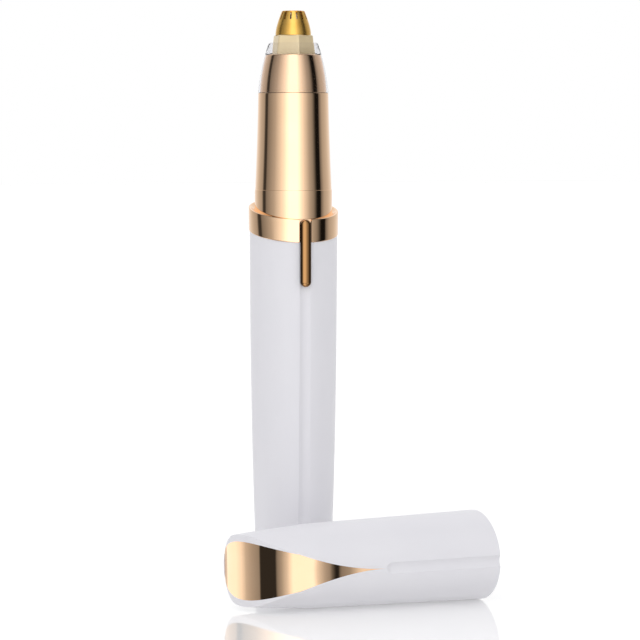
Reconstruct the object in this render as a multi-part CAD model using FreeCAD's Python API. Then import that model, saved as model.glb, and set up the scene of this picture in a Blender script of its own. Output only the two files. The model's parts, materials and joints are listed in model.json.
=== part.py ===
"""Pen-shaped eyebrow razor, standing open, with its cap lying in front of it.

Millimetres, Z up along the razor, origin in the middle of its base, front (flute and switch) at -Y.
"""
import FreeCAD, Part
import math
import os

# Driving dimensions

# Handle sleeve
handle_base_r = 8.2
handle_mid_r = 9.35
handle_top_r = 9.75
handle_mid_share = 0.47
handle_front_length = 77.0
handle_wall = 1.35
handle_floor = 1.6
base_round = 1.3

# Flute along the front of handle and cap
flute_r = 2.2
flute_depth = 0.45

# Collar ring, slanted low at the front
collar_proud = 0.25
collar_height = 5.1
collar_slope_share = 0.21

# Neck band
neck_r = 8.65
neck_wall = 0.85
neck_length = 6.4

# Gold cone
cone_foot_r = 8.55
cone_mid_r = 8.35
cone_shoulder_r = 8.0
shoulder_above_chassis = 2.2
cone_ledge = 0.9
cone_tip_mid_r = 6.72
cone_tip_r = 5.85
cone_upper_length = 8.4
cone_wall = 0.75
cone_edge_round = 0.35
cone_mouth_r = 5.3

# Clear light ring
light_ring_mid_r = 7.0
light_ring_top_r = 5.8
light_ring_length = 11.0

# Head holder, six-sided
holder_foot_flat_r = 4.42
holder_top_flat_r = 3.9
holder_sides = 6
holder_hidden_length = 1.0
holder_shown_length = 4.3
holder_skirt_r = 4.3
holder_skirt_length = 3.0

# Head dome with hair slots
dome_foot_r = 3.95
dome_belly_r = 3.64
dome_top_r = 2.5
dome_belly_share = 0.4
dome_length = 5.4
dome_wall = 0.4
hair_slot_count = 14
hair_slot_width = 0.36
hair_slot_depth = 1.9
hair_slot_inner_r = 1.7

# Switch
bar_width = 2.4
bar_length = 14.8
bar_ridge_height = 1.15
bar_eave_height = 0.3
bar_lift = 0.12
bar_hip_length = 1.1
bar_slot_depth = 0.45
bar_slot_clearance = 0.15
switch_travel = 2.2
stem_width = 1.4
stem_length = 1.4
stem_inset = 0.9
stem_clearance = 0.15
slider_width = 4.0
slider_length = 4.4
slider_thick = 0.7
wiper_thick = 0.3
wiper_width = 2.4

# AAA cell and its contacts
cell_r = 5.25
cell_length = 44.5
cell_nub_r = 1.9
cell_nub_height = 1.0
cell_edge_round = 0.5
cell_clearance = 0.2
contact_plate_r = 3.5
contact_thick = 0.4
leaf_height = 2.2
leaf_width = 2.5
leaf_reach = 3.6
strip_width = 2.6
strip_thick = 0.3
strip_tab_length = 2.5

# Chassis in two halves
spigot_length = 6.0
spigot_clearance = 0.1
bulkhead_thick = 2.0
chassis_r = 7.75
chassis_upper_r = 7.35
chamber_r = 6.6
cradle_wall = 1.15
cradle_floor = 2.0
cradle_open_back = 1.0
chassis_lid = 2.0
chassis_fit = 0.05
screw_r = 0.6
screw_head_r = 1.0
screw_head_height = 0.8
screw_length = 5.0
screw_side = 5.9
screw_head_seat = 1.6
screw_height_share = 0.5

# Circuit board
board_width = 9.0
board_thick = 1.0
board_front = 4.6
board_length = 13.0
board_gap = 0.3

# Motor
motor_r = 5.0
motor_can_length = 15.5
motor_can_wall = 0.35
end_cap_thick = 1.8
magnet_thick = 0.9
magnet_gap_angle = 40.0
magnet_length = 9.0
armature_r = 3.0
armature_length = 8.0
armature_slot_width = 0.9
armature_slot_depth = 1.5
armature_poles = 3
commutator_r = 1.3
commutator_length = 1.8
shaft_r = 0.5
shaft_overhang = 7.0
shaft_fit = 0.04
bushing_r = 1.3
bushing_length = 1.6
terminal_width = 1.0
terminal_thick = 0.3
terminal_length = 1.6
terminal_side = 3.0
lead_r = 0.35

# Drive and cutter
coupling_r = 1.5
coupling_length = 9.0
coupling_lift = 0.6
stem_r = 0.8
stem_grip = 4.0
cutter_disc_r = 2.7
cutter_disc_thick = 1.0
cutter_post_r = 0.9
cutter_clearance = 0.3
blade_count = 4
blade_thick = 0.3

# Cutter seat, the nose that the head pushes onto
seat_r = 3.3
seat_bore_r = 2.1
seat_shoulder_r = 4.2
seat_flange_r = 6.0
seat_flange_thick = 1.0
seat_nose_length = 5.5
seat_clearance = 0.1

# Light-emitting diode on its ring board
led_board_thick = 0.8
led_board_r = 6.0
led_depth = 1.2
led_width = 2.0
led_height = 1.2

# Cap
cap_mouth_r = 9.75
cap_straight_r = 9.0
cap_straight_length = 40.0
cap_top_r = 7.5
cap_length = 57.0
cap_bend_share = 0.5
cap_bend_fullness = 0.1
cap_wall = 0.95
cap_top_round = 1.0
scoop_length = 31.5
scoop_power = 3.8
scoop_slant = 1.0
scoop_points = 12
scoop_lip = 0.25
inlay_rim = 0.75
inlay_side_rim = 2.5
inlay_thick = 0.7
scoop_roof = 0.9
cap_flute_run_out = 1.4

# Where the cap lies
cap_mouth_x = 35.0
cap_axis_y = -30.0

# Overrun of every cut
over = 2.0

# Sizes and heights worked out from the driving dimensions
collar_r = handle_top_r + collar_proud
collar_low = handle_front_length
collar_top = collar_low + collar_height
collar_rise = 2 * collar_r * collar_slope_share
neck_top = collar_top + neck_length
motor_bottom = neck_top + end_cap_thick
motor_top = motor_bottom + motor_can_length
chassis_top = motor_top + chassis_lid
cone_shoulder = chassis_top + shoulder_above_chassis
cone_tip = cone_shoulder + cone_upper_length
light_ring_top = cone_shoulder + light_ring_length
holder_foot = cone_tip - holder_hidden_length
holder_top = cone_tip + holder_shown_length
holder_bottom = holder_foot - holder_skirt_length
dome_top = holder_top + dome_length
bulkhead_low = collar_low - spigot_length
bulkhead_top = bulkhead_low + bulkhead_thick
cell_top = bulkhead_low - contact_thick
cell_bottom = cell_top - cell_length
cradle_seat = cell_bottom - leaf_height
cradle_bottom = cradle_seat - cradle_floor
board_bottom = bulkhead_top + board_gap
seat_top = holder_bottom + seat_nose_length
cutter_bottom = seat_top + cutter_clearance
bar_top = collar_top
bar_bottom = bar_top - bar_length
stem_bottom = collar_low + stem_inset
bore_r = cell_r + cell_clearance
cradle_r = bore_r + cradle_wall
seat_bottom = chassis_top
led_board_bottom = seat_bottom + seat_flange_thick


# Shape helpers

def point(x, y, z):
    """A point or direction."""
    return FreeCAD.Vector(x, y, z)


def disc(radius, bottom, top):
    """A cylinder on the razor's axis."""
    return Part.makeCylinder(radius, top - bottom, point(0, 0, bottom))


def tube(outer, inner, bottom, top):
    """A pipe on the razor's axis."""
    return disc(outer, bottom, top).cut(disc(inner, bottom - over, top + over))


def block(x_low, x_high, y_low, y_high, z_low, z_high):
    """A box between two corners."""
    return Part.makeBox(x_high - x_low, y_high - y_low, z_high - z_low, point(x_low, y_low, z_low))


def line(start, end):
    """A straight edge."""
    return Part.LineSegment(start, end).toShape()


def arc(start, middle, end):
    """A round edge through three points."""
    return Part.Arc(start, middle, end).toShape()


def turned(edges):
    """A solid turned round the axis from a closed outline in the XZ plane."""
    face = Part.Face(Part.Wire(edges))
    return face.revolve(point(0, 0, 0), point(0, 0, 1), 360)


def pushed(outline, depth):
    """A solid pushed out to both sides of the YZ plane from an outline of (y, z) corners."""
    wire = Part.makePolygon([point(-depth / 2, y, z) for y, z in outline + outline[:1]])
    return Part.Face(wire).extrude(point(depth, 0, 0))


def above_slant(front_height):
    """Everything above a slanted plane that meets the collar's front at the given height."""
    reach = 2 * collar_r
    low = front_height + (collar_r - reach) * collar_slope_share
    high = front_height + (collar_r + reach) * collar_slope_share
    top = high + cap_length + over
    return pushed([(-reach, low), (reach, high), (reach, top), (-reach, top)], 2 * reach)


def spun_copies(shape, count):
    """Copies of a shape spaced evenly round the axis."""
    step = 360 / count
    return [shape.rotated(point(0, 0, 0), point(0, 0, 1), step * i) for i in range(count)]


# Handle

handle_curve = Part.Arc(
    point(handle_base_r, 0, 0),
    point(handle_mid_r, 0, handle_mid_share * handle_front_length),
    point(handle_top_r, 0, collar_low + collar_rise),
).toShape().Curve


def handle_r(height):
    """The handle's outer radius at a height."""
    centre = handle_curve.Center
    return centre.x + math.sqrt(handle_curve.Radius**2 - (height - centre.z) ** 2)


def handle_body(inset, bottom):
    """The handle's full round form, drawn in by an inset, from a bottom height to above the collar's foot."""
    top = collar_low + collar_rise + over
    middle = (bottom + top) / 2
    start = point(handle_r(bottom) - inset, 0, bottom)
    end = point(handle_r(top) - inset, 0, top)
    side = arc(start, point(handle_r(middle) - inset, 0, middle), end)
    return turned([line(point(0, 0, bottom), start), side, line(end, point(0, 0, top)),
                   line(point(0, 0, top), point(0, 0, bottom))])


def front_flute():
    """The channel down the front of the handle, as a round bar bent to its curve."""
    heights = (-over, collar_low / 2, collar_low + over)
    path = [point(0, -handle_r(z) - flute_r + flute_depth, z) for z in heights]
    spine = Part.Wire([arc(*path)])
    ring = Part.Wire([Part.makeCircle(flute_r, path[0], path[1] - path[0])])
    return spine.makePipeShell([ring], True, False)


def make_handle_sleeve():
    """White sleeve with a closed base, a flute and a slanted mouth."""
    outside = handle_body(0, 0)
    foot = [edge for edge in outside.Edges if edge.BoundBox.ZMax < base_round]
    outside = outside.makeFillet(base_round, foot)
    sleeve = outside.cut(handle_body(handle_wall, handle_floor))
    sleeve = sleeve.cut(above_slant(collar_low))
    return sleeve.cut(front_flute())


# Gold trim

def bar_slot():
    """Room for the switch bar across the collar's front."""
    half = bar_width / 2 + bar_slot_clearance
    return block(-half, half, -collar_r - over, -collar_r + bar_slot_depth, bar_bottom, neck_top)


def stem_slot():
    """Room for the switch's stem and its travel, from the collar in to the chassis chamber."""
    half = stem_width / 2 + stem_clearance
    low = stem_bottom - stem_clearance
    high = stem_bottom + stem_length + switch_travel + stem_clearance
    return block(-half, half, -collar_r - over, 0, low, high)


def make_collar_ring():
    """Slanted gold ring round the neck band."""
    ring = tube(collar_r, neck_r, 0, collar_top + collar_rise + over)
    ring = ring.common(above_slant(collar_low))
    ring = ring.cut(above_slant(collar_top))
    return ring.cut(bar_slot()).cut(stem_slot())


def make_neck_band():
    """Plain gold band, cut at its foot on the collar's slant."""
    band = tube(neck_r, neck_r - neck_wall, 0, neck_top)
    return band.common(above_slant(collar_low)).cut(stem_slot())


def cone_upper_foot_r():
    """Radius of the gold inside the clear ring, at the ring's foot."""
    return cone_shoulder_r - cone_ledge


def cone_upper_middle():
    """Half height of the gold inside the clear ring."""
    return cone_shoulder + cone_upper_length / 2


def make_cone_shell():
    """Mirror gold cone with a ledge that the clear ring stands on."""
    foot = point(cone_foot_r, 0, neck_top)
    shoulder = point(cone_shoulder_r, 0, cone_shoulder)
    ledge = point(cone_upper_foot_r(), 0, cone_shoulder)
    tip = point(cone_tip_r, 0, cone_tip - cone_edge_round)
    rim = point(cone_tip_r - cone_edge_round, 0, cone_tip)
    mouth = point(cone_mouth_r, 0, cone_tip)
    throat = point(cone_mouth_r, 0, cone_tip - cone_wall)
    inner_ledge = point(cone_upper_foot_r() - cone_wall, 0, cone_shoulder)
    inner_side = point(cone_tip_mid_r - cone_wall, 0, cone_upper_middle())
    step = point(cone_upper_foot_r() - cone_wall, 0, chassis_top + chassis_fit)
    inner_top = point(chassis_upper_r + chassis_fit, 0, chassis_top + chassis_fit)
    inner_foot = point(chassis_upper_r + chassis_fit, 0, neck_top)
    lower_middle = point(cone_mid_r, 0, (neck_top + cone_shoulder) / 2)
    upper_middle = point(cone_tip_mid_r, 0, cone_upper_middle())
    edges = [arc(foot, lower_middle, shoulder), line(shoulder, ledge), arc(ledge, upper_middle, tip)]
    edges += [line(tip, rim), line(rim, mouth), line(mouth, throat), line(throat, inner_side)]
    edges += [line(inner_side, inner_ledge), line(inner_ledge, step), line(step, inner_top)]
    edges += [line(inner_top, inner_foot), line(inner_foot, foot)]
    return turned(edges)


def make_light_ring():
    """Clear tapered ring over the top of the gold cone."""
    middle = cone_shoulder + light_ring_length / 2
    foot = point(cone_shoulder_r, 0, cone_shoulder)
    top = point(light_ring_top_r, 0, light_ring_top)
    inner_top = point(cone_mouth_r, 0, light_ring_top)
    inner_low = point(cone_mouth_r, 0, cone_tip)
    outline = [line(point(0, 0, cone_shoulder), foot)]
    outline += [arc(foot, point(light_ring_mid_r, 0, middle), top), line(top, point(0, 0, light_ring_top))]
    outline += [line(point(0, 0, light_ring_top), point(0, 0, cone_shoulder))]
    ring = turned(outline)
    gold_foot = point(cone_upper_foot_r() + chassis_fit, 0, cone_shoulder)
    gold_middle = point(cone_tip_mid_r + chassis_fit, 0, cone_upper_middle())
    gold_tip = point(cone_tip_r + chassis_fit, 0, cone_tip)
    axis_low = point(0, 0, cone_shoulder)
    axis_high = point(0, 0, light_ring_top)
    hollow = [line(axis_low, gold_foot), arc(gold_foot, gold_middle, gold_tip), line(gold_tip, inner_low)]
    hollow += [line(inner_low, inner_top), line(inner_top, axis_high), line(axis_high, axis_low)]
    return ring.cut(turned(hollow))


# Head

def many_sided(flat_r, sides, height):
    """An outline with equal flat sides and one corner facing the front."""
    corner_r = flat_r / math.cos(math.pi / sides)
    angles = [2 * math.pi * i / sides - math.pi / 2 for i in range(sides + 1)]
    return Part.makePolygon([point(corner_r * math.cos(a), corner_r * math.sin(a), height) for a in angles])


def make_head_holder():
    """Cream six-sided collar with a round skirt that pushes over the cutter seat."""
    foot = many_sided(holder_foot_flat_r, holder_sides, holder_foot)
    top = many_sided(holder_top_flat_r, holder_sides, holder_top)
    grip = Part.makeLoft([foot, top], True, True)
    skirt = disc(holder_skirt_r, holder_bottom, holder_foot)
    return grip.fuse(skirt).cut(disc(seat_r + seat_clearance, holder_bottom - over, holder_top + over))


def dome_belly():
    """Height of the dome's fullest bend."""
    return holder_top + dome_belly_share * dome_length


def dome_body(inset, top):
    """The dome's full form, drawn in by an inset."""
    foot = point(dome_foot_r - inset, 0, holder_top)
    belly = point(dome_belly_r - inset, 0, dome_belly())
    rim = point(dome_top_r - inset / 2, 0, top)
    return turned([line(point(0, 0, holder_top), foot), arc(foot, belly, rim),
                   line(rim, point(0, 0, top)), line(point(0, 0, top), point(0, 0, holder_top))])


def make_head_dome():
    """Gold dome with short hair slots through its top rim."""
    dome = dome_body(0, dome_top).cut(dome_body(dome_wall, dome_top - dome_wall))
    half = hair_slot_width / 2
    slot = block(-half, half, hair_slot_inner_r, dome_foot_r, dome_top - hair_slot_depth, dome_top + over)
    return dome.cut(Part.makeCompound(spun_copies(slot, hair_slot_count)))


def make_cutter_seat():
    """Nose tube with a shoulder for the head and a flange on the chassis."""
    flange_top = seat_bottom + seat_flange_thick
    flange = disc(seat_flange_r, seat_bottom, flange_top)
    shoulder = disc(seat_shoulder_r, seat_bottom, holder_bottom)
    nose = disc(seat_r, seat_bottom, seat_top)
    solid = flange.fuse(shoulder).fuse(nose)
    return solid.cut(disc(seat_bore_r, seat_bottom - over, seat_top + over))


# Cutter and drive

def make_cutter_hub():
    """Stem, disc and post that carry the blades."""
    low = coupling_top() - stem_grip
    disc_top = cutter_bottom + cutter_disc_thick
    post_top = dome_top - dome_wall - 2 * cutter_clearance
    hub = disc(stem_r, low, cutter_bottom).fuse(disc(cutter_disc_r, cutter_bottom, disc_top))
    return hub.fuse(disc(cutter_post_r, disc_top, post_top)).removeSplitter()


def make_cutter_blades():
    """Upright blades that follow the inside of the dome."""
    low = cutter_bottom + cutter_disc_thick
    top = dome_top - dome_wall - cutter_clearance
    swept = dome_body(dome_wall + cutter_clearance, top)
    swept = swept.fuse(disc(cutter_disc_r, low, holder_top))
    plate = block(-blade_thick / 2, blade_thick / 2, 0, dome_foot_r, low, top)
    blade = plate.common(swept).cut(disc(cutter_post_r, low - over, dome_top))
    return Part.makeCompound(spun_copies(blade, blade_count))


def coupling_bottom():
    """Height of the coupling's foot."""
    return chassis_top + coupling_lift


def coupling_top():
    """Height of the coupling's top."""
    return coupling_bottom() + coupling_length


def shaft_top():
    """Height of the motor shaft's end."""
    return motor_top + shaft_overhang


def make_drive_coupling():
    """Plastic sleeve that joins the motor shaft to the cutter stem."""
    body = disc(coupling_r, coupling_bottom(), coupling_top())
    body = body.cut(disc(shaft_r, coupling_bottom() - over, shaft_top()))
    return body.cut(disc(stem_r, coupling_top() - stem_grip, coupling_top() + over))


# Motor

def make_motor_can():
    """Drawn steel can, closed at the top round the upper bushing."""
    can = disc(motor_r, motor_bottom, motor_top)
    hollow = disc(motor_r - motor_can_wall, motor_bottom - over, motor_top - motor_can_wall)
    return can.cut(hollow).cut(disc(bushing_r, motor_bottom, motor_top + over))


def make_motor_end_cap():
    """Nylon end cap with the lower bushing's seat and slots for the terminals."""
    cap = disc(motor_r, neck_top, motor_bottom).cut(disc(bushing_r, neck_top - over, motor_bottom + over))
    for side in (-1, 1):
        cap = cap.cut(terminal(side, over))
    return cap


def terminal(side, overrun):
    """One terminal blade through the end cap."""
    half = terminal_width / 2
    middle = side * terminal_side
    low = neck_top - terminal_length - overrun
    return block(middle - half, middle + half, -terminal_thick / 2, terminal_thick / 2,
                 low, motor_bottom + overrun)


def make_motor_terminals():
    """Pair of terminal blades."""
    return Part.makeCompound([terminal(side, 0) for side in (-1, 1)])


def make_motor_magnets():
    """Two magnet shells against the can's wall."""
    outer = motor_r - motor_can_wall
    middle = (motor_bottom + motor_top) / 2
    low = middle - magnet_length / 2
    high = middle + magnet_length / 2
    ring = tube(outer, outer - magnet_thick, low, high)
    gap = 2 * outer * math.sin(math.radians(magnet_gap_angle / 2))
    return ring.cut(block(-outer - over, outer + over, -gap / 2, gap / 2, low - over, high + over))


def make_shaft_bushings():
    """Plain bearings at both ends of the motor."""
    lower = tube(bushing_r, shaft_r + shaft_fit, neck_top, neck_top + bushing_length)
    upper = tube(bushing_r, shaft_r + shaft_fit, motor_top - bushing_length, motor_top)
    return Part.makeCompound([lower, upper])


def make_motor_shaft():
    """Steel shaft from the lower bushing to the coupling."""
    return disc(shaft_r, neck_top, shaft_top())


def armature_bottom():
    """Height of the armature's foot."""
    return (motor_bottom + motor_top - armature_length) / 2


def make_armature():
    """Slotted lamination stack on the shaft."""
    low = armature_bottom()
    high = low + armature_length
    stack = tube(armature_r, shaft_r, low, high)
    half = armature_slot_width / 2
    slot = block(-half, half, armature_r - armature_slot_depth, armature_r + over, low - over, high + over)
    return stack.cut(Part.makeCompound(spun_copies(slot, armature_poles)))


def make_commutator():
    """Copper ring on the shaft below the armature."""
    return tube(commutator_r, shaft_r, armature_bottom() - commutator_length, armature_bottom())


def make_motor_leads():
    """Two short wires from the terminals to the circuit board."""
    leads = []
    board_back = board_thick - board_front
    for side in (-1, 1):
        start = point(side * terminal_side, -terminal_thick / 2, neck_top - terminal_length / 2)
        run = point(0, board_back + terminal_thick / 2, 0)
        leads.append(Part.makeCylinder(lead_r, run.Length, start, run))
    return Part.makeCompound(leads)


# Chassis

def chassis_whole():
    """Both halves of the chassis together, without the battery cradle."""
    lower = disc(chassis_r, bulkhead_low, neck_top)
    spigot_r = handle_r(bulkhead_low) - handle_wall - spigot_clearance
    spigot = disc(spigot_r, bulkhead_low, collar_top + collar_rise)
    spigot = spigot.cut(above_slant(collar_low))
    upper = disc(chassis_upper_r, neck_top, chassis_top)
    whole = lower.fuse(spigot).fuse(upper)
    whole = whole.cut(disc(chamber_r, bulkhead_top, neck_top))
    whole = whole.cut(disc(motor_r, neck_top - over, motor_top))
    whole = whole.cut(disc(seat_bore_r, motor_top - over, chassis_top + over))
    whole = whole.cut(stem_slot())
    for side in (-1, 1):
        whole = whole.cut(screw(side, over))
    return whole


def screw(side, overrun):
    """One chassis screw, driven in from the back."""
    height = motor_bottom + screw_height_share * motor_can_length
    seat = point(side * screw_side, screw_head_seat, height)
    shank = Part.makeCylinder(screw_r, screw_length, seat, point(0, -1, 0))
    head = Part.makeCylinder(screw_head_r, screw_head_height + overrun, seat, point(0, 1, 0))
    return shank.fuse(head)


def make_chassis_screws():
    """Two screws that hold the halves together."""
    return Part.makeCompound([screw(side, 0) for side in (-1, 1)])


def strip_channel(clearance, low, high):
    """Upright run of the contact strip beside the cell, with a clearance all round."""
    half = strip_width / 2 + clearance
    back = -bore_r
    front = back - strip_thick
    return block(-half, half, front - clearance, back + clearance, low, high)


def make_chassis_front():
    """Front half, with the open-backed cradle for the cell below it."""
    far = 2 * collar_r
    front = chassis_whole().common(block(-far, far, -far, 0, 0, chassis_top + over))
    cradle = disc(cradle_r, cradle_bottom, bulkhead_low).cut(disc(bore_r, cradle_seat, bulkhead_low + over))
    cradle = cradle.cut(block(-far, far, cradle_open_back, far, cradle_seat, bulkhead_low))
    half = front.fuse(cradle)
    half = half.cut(strip_channel(chassis_fit, cradle_seat, bulkhead_top + over))
    leaf_side = leaf_width / 2 + chassis_fit
    half = half.cut(block(-leaf_side, leaf_side, -bore_r, 0, cradle_seat, cell_bottom))
    return half.cut(plate_tab(chassis_fit))


def make_chassis_rear():
    """Rear half, the cover over motor and board."""
    far = 2 * collar_r
    return chassis_whole().common(block(-far, far, 0, far, 0, chassis_top + over))


# Cell and contacts

def make_battery_cell():
    """AAA cell, positive nub up."""
    shoulder = cell_top - cell_nub_height
    can = disc(cell_r, cell_bottom, shoulder)
    can = can.makeFillet(cell_edge_round, [e for e in can.Edges if len(e.Vertexes) == 1])
    return can.fuse(disc(cell_nub_r, shoulder, cell_top))


def plate_tab(clearance):
    """Upright tab that takes the plus contact through the bulkhead to the back of the board."""
    half = strip_width / 2 + clearance
    low = board_thick - board_front
    return block(-half, half, low - clearance, low + strip_thick + clearance,
                 cell_top, board_bottom + strip_tab_length + clearance)


def make_contact_plate():
    """Plus contact under the bulkhead, with its tab."""
    plate = disc(contact_plate_r, cell_top, bulkhead_low)
    return plate.fuse(plate_tab(0)).removeSplitter()


def make_contact_leaf():
    """Minus contact, a strip folded back over itself that presses on the cell's foot."""
    low = cradle_seat
    high = cell_bottom
    t = strip_thick
    front = -bore_r
    outline = [(front, low), (leaf_reach, low), (leaf_reach + t, low + t), (leaf_reach + t, low + 2 * t)]
    outline += [(0, high), (-2 * t, high - t), (leaf_reach - t, low + t), (front, low + t)]
    return pushed(outline, leaf_width)


def make_contact_strip():
    """Long strip from the minus contact up to the front of the board."""
    top = board_bottom + strip_tab_length
    run = strip_channel(0, cradle_seat, top)
    half = strip_width / 2
    tab = block(-half, half, -bore_r, -board_front, top - strip_thick, top)
    return run.fuse(tab).removeSplitter()


def make_circuit_board():
    """Upright board in the chamber behind the switch."""
    half = board_width / 2
    back = board_thick - board_front
    return block(-half, half, -board_front, back, board_bottom, board_bottom + board_length)


def make_led_board():
    """Ring board round the cutter seat."""
    return tube(led_board_r, seat_shoulder_r, led_board_bottom, led_board_bottom + led_board_thick)


def make_led():
    """Surface-mounted lamp at the front of the ring board."""
    low = led_board_bottom + led_board_thick
    middle = (led_board_r + seat_shoulder_r) / 2
    half = led_width / 2
    return block(-half, half, -middle - led_depth / 2, -middle + led_depth / 2, low, low + led_height)


# Switch

def bar_floor():
    """Distance of the bar's underside from the axis, just clear of the handle and the collar's slot."""
    return handle_r(bar_bottom) + bar_lift


def make_switch_bar():
    """Gold roof-shaped bar with hipped ends."""
    half = bar_width / 2
    floor = -bar_floor()
    eave = floor - bar_eave_height
    ridge = floor - bar_ridge_height
    section = [point(-half, floor, bar_bottom), point(half, floor, bar_bottom), point(half, eave, bar_bottom),
               point(0, ridge, bar_bottom), point(-half, eave, bar_bottom)]
    bar = Part.Face(Part.makePolygon(section + section[:1])).extrude(point(0, 0, bar_length))
    hipped = [(floor, bar_bottom), (eave, bar_bottom), (ridge, bar_bottom + bar_hip_length),
              (ridge, bar_top - bar_hip_length), (eave, bar_top), (floor, bar_top)]
    return bar.common(pushed(hipped, bar_width + over))


def make_switch_slider():
    """Stem through the collar and the carrier behind it."""
    half = stem_width / 2
    face = -slider_face()
    stem = block(-half, half, -bar_floor(), face, stem_bottom, stem_bottom + stem_length)
    low = stem_bottom + (stem_length - slider_length) / 2
    wide = slider_width / 2
    carrier = block(-wide, wide, face, face + slider_thick, low, low + slider_length)
    return stem.fuse(carrier).removeSplitter()


def slider_face():
    """Distance of the carrier's front from the axis, clear of the chamber wall."""
    return math.sqrt(chamber_r**2 - (slider_width / 2) ** 2) - stem_clearance


def make_switch_wiper():
    """Folded spring contact between the carrier and the board."""
    back = -slider_face() + slider_thick
    touch = -board_front - chassis_fit
    middle = stem_bottom + stem_length / 2
    reach = slider_length / 2
    t = wiper_thick
    outline = [(back, middle - reach), (back + t, middle - reach), (touch, middle - t), (touch, middle + t),
               (back + t, middle + reach), (back, middle + reach)]
    return pushed(outline, wiper_width)


# Cap, made upright on its own axis with its mouth at height zero

cap_slope = (cap_mouth_r - cap_straight_r) / cap_straight_length
cap_lean = math.degrees(math.atan(cap_slope))


def cap_cone_r(height):
    """Radius of the cap's straight taper at a height above its mouth."""
    return cap_mouth_r - cap_slope * height


def cap_body(inset, bottom):
    """The cap's full round form, drawn in by an inset."""
    top = cap_length - inset
    bend_height = cap_straight_length + cap_bend_share * (top - cap_straight_length)
    bend_r = cap_straight_r + cap_bend_share * (cap_top_r - cap_straight_r) + cap_bend_fullness
    foot = point(cap_cone_r(bottom) - inset, 0, bottom)
    knee = point(cap_straight_r - inset, 0, cap_straight_length)
    end = point(cap_top_r - inset, 0, top)
    outline = [line(point(0, 0, bottom), foot), line(foot, knee)]
    outline += [arc(knee, point(bend_r - inset, 0, bend_height), end)]
    outline += [line(end, point(0, 0, top)), line(point(0, 0, top), point(0, 0, bottom))]
    return turned(outline)


def scoop_foot():
    """Height of the scoop's lower tip."""
    return cap_length - scoop_length


def scoop_stations():
    """Pairs of height and depth up the scoop: a long flat tail from its tip, then a slanted end."""
    rise = scoop_length - scoop_lip
    across = cap_cone_r(cap_length) + cap_top_r - inlay_rim
    stations = []
    for i in range(scoop_points + 1):
        angle = math.pi / 2 * i / scoop_points
        height = scoop_foot() + rise * math.sin(angle) ** (2 / scoop_power)
        stations.append((height, across * (1 - math.cos(angle) ** scoop_slant)))
    return stations


def smooth(points):
    """A smooth edge through points."""
    curve = Part.BSplineCurve()
    curve.interpolate(points)
    return curve.toShape()


def scoop_curve(sink):
    """Side view of the scoop, from its tip on the front to the back of the cap's end, sunk by a depth."""
    points = [point(0, depth - cap_cone_r(z) + sink, z - sink) for z, depth in scoop_stations()]
    return smooth(points), points[0], points[-1]


def pushed_outline(edges):
    """A solid pushed right through the cap from a closed outline in the YZ plane."""
    reach = 2 * cap_mouth_r
    face = Part.Face(Part.Wire(edges))
    face.translate(point(-reach / 2, 0, 0))
    return face.extrude(point(reach, 0, 0))


def scoop_cutter(sink):
    """Everything outside the scooped end, sunk by a depth."""
    curve, tip, end = scoop_curve(sink)
    top = cap_length + over
    front = -cap_mouth_r - over
    corner_back = point(0, end.y, top)
    corner_front = point(0, front, top)
    corner_low = point(0, front, tip.z)
    return pushed_outline([curve, line(end, corner_back), line(corner_back, corner_front),
                           line(corner_front, corner_low), line(corner_low, tip)])


def inlay_outline():
    """Front view of the inlay pushed through the cap: narrow at the tip, drawn in from the scoop's edge."""
    right = []
    for height, depth in scoop_stations():
        radius = cap_cone_r(height)
        if depth < radius:
            half = math.sqrt(2 * radius * depth - depth**2)
            right.append(point(half * (1 - inlay_rim / radius), -2 * cap_mouth_r, height))
    left = [point(-p.x, p.y, p.z) for p in right]
    lift = point(0, 0, cap_length + over - right[-1].z)
    corner_right = right[-1] + lift
    corner_left = left[-1] + lift
    edges = [smooth(right), line(right[-1], corner_right), line(corner_right, corner_left)]
    edges += [line(corner_left, left[-1]), smooth(left)]
    return Part.Face(Part.Wire(edges)).extrude(point(0, 4 * cap_mouth_r, 0))


def inlay_end():
    """Body that draws the inlay's edge in from the rim of the cap's end, at the sides and the back."""
    outlines = []
    for height in (scoop_foot() - over, cap_length + over):
        radius = cap_cone_r(height)
        middle = point(0, -inlay_rim, height)
        side = point(radius - inlay_side_rim, 0, 0)
        oval = Part.Ellipse(middle + point(0, radius, 0), middle + side, middle)
        outlines.append(Part.Wire([oval.toShape()]))
    return Part.makeLoft(outlines, True, True)


def cap_inlay_upright():
    """Gold mirror plate along the scoop."""
    upper, upper_tip, upper_end = scoop_curve(0)
    lower, lower_tip, lower_end = scoop_curve(inlay_thick)
    plate = pushed_outline([upper, line(upper_end, lower_end), lower, line(lower_tip, upper_tip)])
    return plate.common(inlay_outline()).common(inlay_end()).common(cap_rounded())


def cap_rounded():
    """The cap's outer form with its end rounded."""
    outside = cap_body(0, -over)
    end = [e for e in outside.Edges if e.BoundBox.ZMin > cap_length - cap_top_round]
    return outside.makeFillet(cap_top_round, end)


def cap_flute():
    """The channel down the front of the cap, from the mouth to just below the scoop's tip."""
    offset = flute_r - flute_depth
    low = -over
    high = scoop_foot() - cap_flute_run_out
    start = point(0, -cap_cone_r(low) - offset, low)
    end = point(0, -cap_cone_r(high) - offset, high)
    run = end - start
    bar = Part.makeCylinder(flute_r, run.Length, start, run)
    return bar.fuse(Part.makeSphere(flute_r, end))


def cap_shell_upright():
    """White cap with a scooped end, a roof under the inlay and a slanted mouth."""
    sink = inlay_thick + scoop_roof
    hollow = cap_body(cap_wall, -over).cut(scoop_cutter(sink))
    shell = cap_rounded().cut(hollow).cut(scoop_cutter(0))
    shell = shell.common(above_slant(0))
    return shell.cut(cap_flute()).cut(cap_inlay_upright())


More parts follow.
